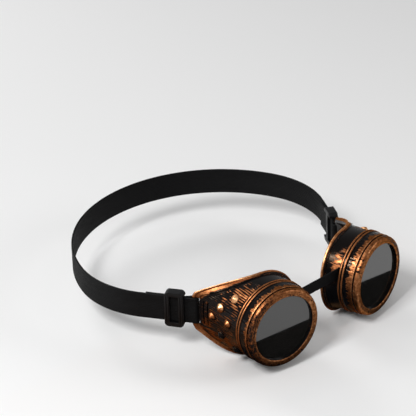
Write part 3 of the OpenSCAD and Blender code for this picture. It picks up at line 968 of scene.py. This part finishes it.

# %% [markdown]
# The studs are low cones of copper, six to a shield. One is turned with the same lathe tree,
# and a second tree sets a copy on each point of a small guide mesh, standing along a
# direction that is stored on the point. Their screws, which hold them from inside, are set
# the same way.
# Their copper is painted brighter on each cone's top and on the higher studs, a painted highlight,
# and darker on the lower studs, painted shade.

# %% A tree that sets copies on points
def setter_tree():
    t = Tree("set_on_points", "GeometryNodeTree")
    points = t.takes("Geometry", kind="NodeSocketGeometry")
    shape = t.takes("Shape", kind="NodeSocketObject")
    material = t.takes("Material", kind="NodeSocketMaterial")
    info = t.add("GeometryNodeObjectInfo", {"Object": shape})
    facing = t.add("GeometryNodeInputNamedAttribute", {"Name": "facing"}, data_type="FLOAT_VECTOR")
    stand = t.add("FunctionNodeAlignRotationToVector", {"Vector": facing.outputs[0]}, axis="Z")
    copies = t.add("GeometryNodeInstanceOnPoints", {
        "Points": points, "Instance": info.outputs["Geometry"], "Rotation": stand.outputs[0]})
    real = t.add("GeometryNodeRealizeInstances", {"Geometry": copies.outputs[0]})
    t.gives_mesh(real, material)
    return t.tree


SETTER = setter_tree()


def set_on_points(name, shape_mesh, places, facings, material):
    guide = mesh_from(name, places, [])
    layer = guide.attributes.new("facing", "FLOAT_VECTOR", "POINT")
    layer.data.foreach_set("vector", np.asarray(facings, np.float32).ravel())
    shape = new_object("shape", shape_mesh)
    mesh = grow(SETTER, name, {"Shape": shape, "Material": material}, base=guide)
    bpy.data.objects.remove(shape)
    return mesh


# %% Studs and their screws
SCREW_HEAD_R = 2.2
SCREW_HEAD_T = 0.9
SCREW_R = 0.75
SHANK_R = 1.3
SLOT_W = 0.6
METAL_GRAIN = 900.0


def simple_metal(name, side, colour, roughness, grime):
    """Bright metal with dark grime that noise spreads over it."""
    material, tree, shader = new_material(name)
    grain = noise(tree, cup_coordinates(tree, side), METAL_GRAIN, 4.0)
    clean = mapped(tree, grain, 0.32, 0.6)
    rough = add_node(tree, "ShaderNodeMath", {0: grain, 1: 0.25, 2: roughness},
                     operation="MULTIPLY_ADD")
    fill(tree, shader, {
        "Base Color": mixed(tree, clean, grime + (1,), colour + (1,)), "Metallic": 1.0,
        "Roughness": rough.outputs[0], "Normal": bumped(tree, grain, 0.25, 0.0001)})
    return material


def stud_wear_and_painted_light(points, places):
    """Wear plus painted light: a painted highlight on each cone's top and on the higher studs,
    painted shade on the lower studs.
    """
    middle = places[np.argmin(np.linalg.norm(points[:, None] - places[None], axis=2), 1)]
    # painted highlight: the upper half of each cone is painted brighter, whichever way the cone
    # faces
    height = (points - middle)[:, 2] / MM / STUD_R
    # painted shade: studs lower on the shield are painted darker
    row_height = middle[:, 2] / MM / CUP_R
    return np.clip(0.55 + 0.28 * height + 0.95 * row_height, 0.2, 1.15)


def make_studs(side_name):
    side = SIDES[side_name]
    around = np.array([float(p[0]) for p in STUD_PLACES])
    depth = np.array([p[1] for p in STUD_PLACES])
    base = skin(around, depth, 0)
    normal = skin_normal(around, depth)
    places = to_row(base, side)
    facings = to_row(base + normal, side) - places
    copper = rubbed_material(side_name + "_stud_copper", side, streak=900.0, stretch=0.6,
                             blotch=500.0, streaky=0.5)
    foot, tip = SEAT_PAD + 0.5, SEAT_PAD + STUD_H
    profile = [(0, -1.2), (SHANK_R, -1.2), (SHANK_R, 0.0), (STUD_R - 0.1, 0.0), (STUD_R, 0.1),
               (STUD_R, foot - 0.1), (STUD_R - 0.12, foot + 0.12), (STUD_R - 0.35, foot + 0.36),
               (1.2, tip - 0.52), (0.75, tip - 0.2), (0.38, tip - 0.05), (0, tip)]
    stud = soften(turned("stud", profile, copper, around=48, closed=False), 50)
    mesh = set_on_points(side_name + "_studs", stud, places, facings, copper)
    # on the studs this wear layer also holds painted light: a highlight on the cone tops, shade on
    # the lower studs
    paint(mesh, "wear", stud_wear_and_painted_light(corners_of(mesh), places))
    studs = new_object(side_name + "_studs", mesh)
    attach(studs, "frame")
    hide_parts(side_name + "_cone_studs")
    steel = simple_metal(side_name + "_screw_steel", side, (0.55, 0.55, 0.56), 0.22,
                         (0.16, 0.15, 0.14))
    under = -CUP_WALL - 0.15
    head = [(0, under - SCREW_HEAD_T), (SCREW_HEAD_R - 0.55, under - SCREW_HEAD_T),
            (SCREW_HEAD_R - 0.15, under - 0.6), (SCREW_HEAD_R, under - 0.3), (SCREW_HEAD_R, under),
            (SCREW_R, under), (SCREW_R, -1.3), (0, -1.3)]
    screw = new_object("screw", turned("screw", head, steel, around=32, closed=False))
    slot_low = under - SCREW_HEAD_T - 0.3
    cut(screw, [box_mesh((-3, -SLOT_W / 2, slot_low), (3, SLOT_W / 2, slot_low + 0.65))])
    shape = soften(outward(screw.data), 30)
    bpy.data.objects.remove(screw)
    mesh = set_on_points(side_name + "_screws", shape, places, facings, steel)
    screws = new_object(side_name + "_screws", mesh)
    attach(screws, "frame")
    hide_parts(side_name + "_stud_screws")


for name in SIDES:
    make_studs(name)

# %% [markdown]
# The lenses are flat discs of very dark glass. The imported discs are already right, so they
# stay and only get a finish: black glass whose polish carries a few faint smears, because
# a perfectly clean mirror looks drawn. The gaskets and keeper pins stay too.

# %% Lens, gasket and keeper finishes
def lens_material(side_name):
    material, tree, shader = new_material(side_name + "_dark_glass")
    smear = noise(tree, cup_coordinates(tree, SIDES[side_name]), 60.0, 3.0)
    fill(tree, shader, {
        "Base Color": mixed(tree, smear, (0.004, 0.004, 0.004, 1), (0.010, 0.009, 0.008, 1)),
        "Roughness": mapped(tree, smear, 0.4, 0.75, 0.025, 0.07), "IOR": 1.85})
    return material


def rubber_material(name):
    material, tree, shader = new_material(name)
    grain = noise(tree, own_coordinates(tree), 1500.0)
    fill(tree, shader, {
        "Base Color": (0.014, 0.014, 0.015, 1),
        "Roughness": mapped(tree, grain, 0.0, 1.0, 0.55, 0.8),
        "Normal": bumped(tree, grain, 0.3, 0.0001)})
    return material


def refinish(node, material):
    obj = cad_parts[node]
    obj.data.materials.clear()
    obj.data.materials.append(material)


for name, side in SIDES.items():
    refinish(name + "_lens", lens_material(name))
    refinish(name + "_lens_gasket", rubber_material(name + "_gasket_rubber"))
    refinish(name + "_bridge_keeper", simple_metal(name + "_keeper_steel", side,
                                                   (0.5, 0.5, 0.5), 0.25, (0.12, 0.11, 0.1)))

# %% [markdown]
# The head strap and the band over the nose are woven elastic: rubber cords run lengthwise
# under a dense black weave, so the flat side shows fine ribs. Each follows a path, so
# Geometry Nodes sweep a ribbed section along it. The tree also stores how far along and
# across the band each corner lies, and the weave in the material reads those two numbers,
# so that the threads follow every bend.
# The weave's colour is painted darker in the hollows between the threads, as painted shade.

# %% A tree that weaves a band along a path
def band_tree():
    t = Tree("woven_band", "GeometryNodeTree")
    path = t.takes("Geometry", kind="NodeSocketGeometry")
    section = t.takes("Section", kind="NodeSocketObject")
    material = t.takes("Material", kind="NodeSocketMaterial")

    def store(geometry, name, value):
        node = t.add("GeometryNodeStoreNamedAttribute", {"Geometry": geometry, "Name": name},
                     data_type="FLOAT", domain="POINT")
        t.link(value, live(node.inputs, "Value"))
        return node.outputs[0]

    upright = t.add("GeometryNodeSetCurveNormal", {"Curve": path})
    upright.mode = "Z_UP"
    length = t.add("GeometryNodeSplineParameter").outputs["Length"]
    info = t.add("GeometryNodeObjectInfo", {"Object": section})
    place = t.add("ShaderNodeSeparateXYZ", {0: t.add("GeometryNodeInputPosition").outputs[0]})
    swept = t.add("GeometryNodeCurveToMesh", {
        "Curve": store(upright.outputs[0], "along", length),
        "Profile Curve": store(info.outputs["Geometry"], "across", place.outputs[1]),
        "Fill Caps": True})
    t.gives_mesh(swept, material)
    return t.tree


BAND = band_tree()


def poly_curve(name, points, closed=False):
    data = bpy.data.curves.new(name, "CURVE")
    data.dimensions = "3D"
    line = data.splines.new("POLY")
    line.points.add(len(points) - 1)
    flat = np.ones((len(points), 4))
    flat[:, :3] = points
    line.points.foreach_set("co", flat.ravel())
    line.use_cyclic_u = closed
    return data


def band_section(width, thick, ribs, rib_height):
    """Outline of a ribbed band: ribs across both faces, rounded edges."""
    half, flat = width / 2, thick / 2 - rib_height
    edge = thick * 0.3
    ys = np.linspace(-half + edge, half - edge, ribs * 6 + 1)
    share = (ys + half - edge) / (2 * half - 2 * edge)
    face = list(zip(flat + rib_height * np.abs(np.sin(np.pi * ribs * share)), ys))
    other = [(-x, y) for x, y in face[::-1]]
    top = [(flat * math.cos(a), half - edge + edge * math.sin(a))
           for a in np.radians([35, 70, 110, 145])]
    low = [(-x, -y) for x, y in top]
    return np.array([(x * MM, y * MM, 0) for x, y in face + top + other + low])


# %% The weave as a shader group
def weave_group():
    t = Tree("elastic_weave", "ShaderNodeTree")
    along = t.takes("Along")
    across = t.takes("Across")
    pitch = t.takes("Thread pitch", 0.0007)
    ribs = t.takes("Rib pitch", 0.0012)
    row = t.math("DIVIDE", across, ribs)
    shift = t.times(t.math("FLOOR", row), 0.5)
    pick = t.plus(t.math("DIVIDE", along, pitch), shift)
    loop = t.math("SINE", t.times(t.math("FRACT", pick), math.pi))
    rib = t.math("SINE", t.times(t.math("FRACT", row), math.pi))
    height = t.times(t.math("POWER", loop, 0.6), t.math("POWER", rib, 0.5))
    spot = t.add("ShaderNodeCombineXYZ", {"X": t.times(along, 90.0), "Y": t.times(across, 400.0)})
    fade = noise(t.tree, spot.outputs[0], 1.0, 3.0)
    # painted shade: the hollows between the threads are painted darker than their tops; the noise
    # varies the tone at random
    tone = mixed(t.tree, t.times(height, fade),
                 (0.0015, 0.0015, 0.0018, 1), (0.0065, 0.0065, 0.0072, 1))
    t.gives("Colour", tone, "NodeSocketColor")
    t.gives("Height", height)
    t.gives("Roughness", t.math("MULTIPLY_ADD", fade, 0.25, 0.5))
    return t.tree


WEAVE = weave_group()


def woven_material(name, pitch, ribs):
    material, tree, shader = new_material(name)
    group = add_node(tree, "ShaderNodeGroup", {
        "Along": painted(tree, "along"), "Across": painted(tree, "across"),
        "Thread pitch": pitch, "Rib pitch": ribs}, node_tree=WEAVE)
    fill(tree, shader, {
        "Base Color": group.outputs["Colour"], "Roughness": group.outputs["Roughness"],
        "Normal": bumped(tree, group.outputs["Height"], 0.6, 0.0002),
        "Specular IOR Level": 0.1})
    return material


# %% Route of the head strap
SIDE_R = 65.0
SIDE_X = 36.6
SIDE_TURN = 20.0
SLIDER_START = 7.5
SLIDER_LEN = 14.0
SLIDER_TRAVEL = 12.0
LAYER_GAP = 0.2
TAIL_PAST = 2
THREAD_LEN = 0.0008


def turn2(v, degrees):
    a = math.radians(degrees)
    return np.array([v[0] * math.cos(a) - v[1] * math.sin(a),
                     v[0] * math.sin(a) + v[1] * math.cos(a)])


CUP_ORIGIN = np.array([LENS_OFFSET, -LENS_REACH])
FOLD_CENTRE = CUP_ORIGIN + turn2((BAR_X, BAR_DEPTH), math.degrees(TOE_OUT))
SIDE_CENTRE = np.array([SIDE_X, 0.0])
TO_SIDE = SIDE_CENTRE - FOLD_CENTRE
OUT_ANGLE = (math.degrees(math.atan2(TO_SIDE[1], TO_SIDE[0]))
             - math.degrees(math.acos((FOLD_R - SIDE_R) / np.linalg.norm(TO_SIDE))))
RUN_ANGLE = OUT_ANGLE + 90
RUN_START = FOLD_CENTRE + FOLD_R * np.array([math.cos(math.radians(OUT_ANGLE)),
                                             math.sin(math.radians(OUT_ANGLE))])
REAR_R = SIDE_R + SIDE_X / math.cos(math.radians(SIDE_TURN))
REAR_CENTRE = np.array([0.0, -SIDE_X * math.tan(math.radians(SIDE_TURN))])


def on_run(p):
    return RUN_START + turn2(p, RUN_ANGLE)


def mirrored_route(half, shift_y, z):
    """A whole route in metres from its half, which ends at the middle."""
    other = [np.array([-p[0], p[1]]) for p in half[-2::-1]]
    return np.array([(p[0] * MM, (p[1] + shift_y) * MM, z * MM) for p in half + other])


def strap_route():
    layers = STRAP_T + LAYER_GAP
    close_x = SLIDER_START - 0.6
    tail_x = SLIDER_START + SLIDER_LEN + SLIDER_TRAVEL + TAIL_PAST
    reach = math.hypot(close_x, layers - FOLD_R)
    leave = math.degrees(math.atan2(layers - FOLD_R, close_x) + math.acos(FOLD_R / reach))
    tail = [on_run((x, layers)) for x in np.linspace(tail_x, close_x + 0.5, 14)]
    fold = [on_run(p) for p in arc((0, FOLD_R), FOLD_R, leave, 270, 20)]
    neck = [fold[0] + (tail[-1] - fold[0]) * s for s in (0.75, 0.5, 0.25)]
    side_bend = arc(SIDE_CENTRE, SIDE_R, OUT_ANGLE, SIDE_TURN, 28)
    run = [fold[-1] + (side_bend[0] - fold[-1]) * s for s in np.linspace(0, 1, 16)[1:-1]]
    rear = arc(REAR_CENTRE, REAR_R, SIDE_TURN, 90, 40)[1:]
    return mirrored_route(tail + neck + fold + run + side_bend + rear, 0, 0)


# %% Weave the strap and the nose band
def make_band(name, route, width, thick, ribs, rib_height, node):
    material = woven_material(name + "_weave", THREAD_LEN, width * MM / ribs)
    outline = band_section(width, thick, ribs, rib_height)
    section = new_object("section", poly_curve("section", outline, True))
    mesh = grow(BAND, name, {"Section": section, "Material": material},
                base=poly_curve(name, route))
    bpy.data.objects.remove(section)
    soften(outward(mesh), 60)
    band = new_object(name, mesh)
    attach(band, "frame")
    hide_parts(node)
    low, high = corners_of(mesh).min(0), corners_of(mesh).max(0)
    print(name, "size, mm:", np.round((high - low) / MM, 1))


make_band("head_elastic", strap_route(), STRAP_W, STRAP_T, 16, 0.12, "head_strap")


def bridge_route():
    """From the stitched end inside one cup, round its pin, across the nose and back."""
    loop_r = KEEPER_R + KEEPER_PLAY + BRIDGE_T / 2
    side = [np.array([KEEPER_X, 0]) + loop_r * np.array([math.cos(a), math.sin(a)])
            for a in np.radians(np.linspace(205, -165, 30))]
    across = [np.array([x, 0.0]) for x in np.linspace(KEEPER_X - loop_r - 1.4, 0, 12)]
    return mirrored_route(side + across, BRIDGE_Y, BRIDGE_Z)


make_band("nose_elastic", bridge_route(), BRIDGE_H, BRIDGE_T * 0.92, 7, 0.08, "bridge_strap")

# %% [markdown]
# The sliders are black moulded plastic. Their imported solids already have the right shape, but
# moulded edges are never knife-sharp, and it is the rounded edge that catches the light. So
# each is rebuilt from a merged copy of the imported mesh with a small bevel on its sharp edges.

# %% Sliders with moulded edges
def plastic_material(name):
    material, tree, shader = new_material(name)
    grain = noise(tree, own_coordinates(tree), 2200.0)
    scuff = noise(tree, own_coordinates(tree), 240.0, 5.0)
    fill(tree, shader, {
        "Base Color": mixed(tree, scuff, (0.002, 0.002, 0.0025, 1), (0.007, 0.007, 0.008, 1)),
        "Roughness": mapped(tree, scuff, 0.35, 0.7, 0.32, 0.55),
        "Normal": bumped(tree, grain, 0.35, 0.00008), "Specular IOR Level": 0.2})
    return material


def make_slider(side_name):
    node = side_name + "_slider"
    work = bmesh.new()
    work.from_mesh(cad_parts[node].data)
    bmesh.ops.remove_doubles(work, verts=work.verts, dist=2e-6)
    bmesh.ops.dissolve_limit(work, angle_limit=math.radians(1.5),
                             verts=work.verts, edges=work.edges)
    mesh = bpy.data.meshes.new(side_name + "_slider_moulded")
    work.to_mesh(mesh)
    work.free()
    slider = new_object(mesh.name, mesh)
    bevel = slider.modifiers.new("edges", "BEVEL")
    bevel.width = 0.28 * MM
    bevel.segments = 3
    bevel.limit_method = "ANGLE"
    bevel.angle_limit = math.radians(40)
    rounded = evaluated(slider)
    slider.modifiers.clear()
    slider.data = rounded
    soften(rounded, 50)
    rounded.materials.clear()
    rounded.materials.append(plastic_material(side_name + "_slider_black"))
    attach(slider, side_name + "_buckle")
    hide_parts(node)


for name in SIDES:
    make_slider(name)

# %% [markdown]
# The stage is plain: a pale floor, a soft key light from the upper left of the camera, a
# weaker fill and a rim light from behind. Polished and painted surfaces also show what they
# reflect, so four cards lie just above the floor that reflections alone see. Two black
# ones in front of the lenses keep the discs dark, and two brown ones give the copper's
# lower faces a warm tone. The window lamp adds highlights only, because diffuse light
# leaves it out, so colours stay as they are written.

# %% Floor, world and lights
FLOOR_Z = cad_low.z
FLOOR_HALF = 3.0
FLAG_UP = 0.001
CARD_UP = 0.0005
BLACK = (0.01, 0.01, 0.01, 1)
BROWN = (0.32, 0.17, 0.075, 1)


def make_sheet(name, corners, up, colour, inputs):
    """A painted rectangle that lies level, up metres above the part's lowest point."""
    sheet = new_object(name, mesh_from(name, [(x, y, FLOOR_Z + up) for x, y in corners],
                                       [(0, 1, 2, 3)]))
    material, tree, shader = new_material(name + "_paint")
    fill(tree, shader, {"Base Color": colour, **inputs})
    sheet.data.materials.append(material)
    return sheet


def make_card(name, corners, up, colour):
    """A matt card just above the floor that only reflections see."""
    card = make_sheet(name, corners, up, colour, {"Specular IOR Level": 0.0})
    card.visible_camera = False
    card.visible_diffuse = False
    card.visible_shadow = False
    card.visible_transmission = False


def make_flag(name, a, b):
    """A black card below one lens; its edge in front of the goggles runs from a to b."""
    back_y = -0.09
    make_card(name, [a, b, (b[0], back_y), (a[0], back_y)], FLAG_UP, BLACK)


def area_light(name, place, target, size, power):
    data = bpy.data.lights.new(name, "AREA")
    data.shape = "SQUARE"
    data.size = size
    data.energy = power
    lamp = bpy.data.objects.new(name, data)
    scene.collection.objects.link(lamp)
    lamp.location = place
    aim = Vector(target) - Vector(place)
    lamp.rotation_euler = aim.to_track_quat("-Z", "Y").to_euler()
    return lamp


def make_world():
    world = bpy.data.worlds.new("studio")
    world.use_nodes = True
    scene.world = world
    back = world.node_tree.nodes["Background"]
    back.inputs["Color"].default_value = (1, 1, 1, 1)
    back.inputs["Strength"].default_value = 0.35


floor = make_sheet("floor", [(-FLOOR_HALF, -FLOOR_HALF), (FLOOR_HALF, -FLOOR_HALF),
                             (FLOOR_HALF, FLOOR_HALF), (-FLOOR_HALF, FLOOR_HALF)],
                   0, (0.90, 0.90, 0.90, 1), {"Roughness": 0.7})
make_flag("right_flag", (-0.090, -0.158), (0.022, -0.1815))
make_flag("left_flag", (0.045, -0.1769), (0.145, -0.1245))
make_card("right_brown_card", [(-0.21, -0.15), (-0.03, -0.15), (-0.03, -0.01), (-0.21, -0.01)],
          CARD_UP, BROWN)
make_card("left_brown_card", [(0.0, -0.13), (0.15, -0.13), (0.15, -0.03), (0.0, -0.03)],
          CARD_UP, BROWN)
make_world()
middle = (0, -0.08, 0)
area_light("key", (-0.85, -0.25, 0.95), middle, 0.35, 10.0)
area_light("fill", (0.7, -0.9, 0.5), middle, 0.5, 3.0)
area_light("rim", (0.1, 0.9, 0.6), middle, 0.4, 2.5)
window = area_light("window", (-0.65, 0.31, 0.61), (0.02, -0.11, 0), 0.2, 12.0)
window.visible_diffuse = False
scene.view_settings.view_transform = "Standard"
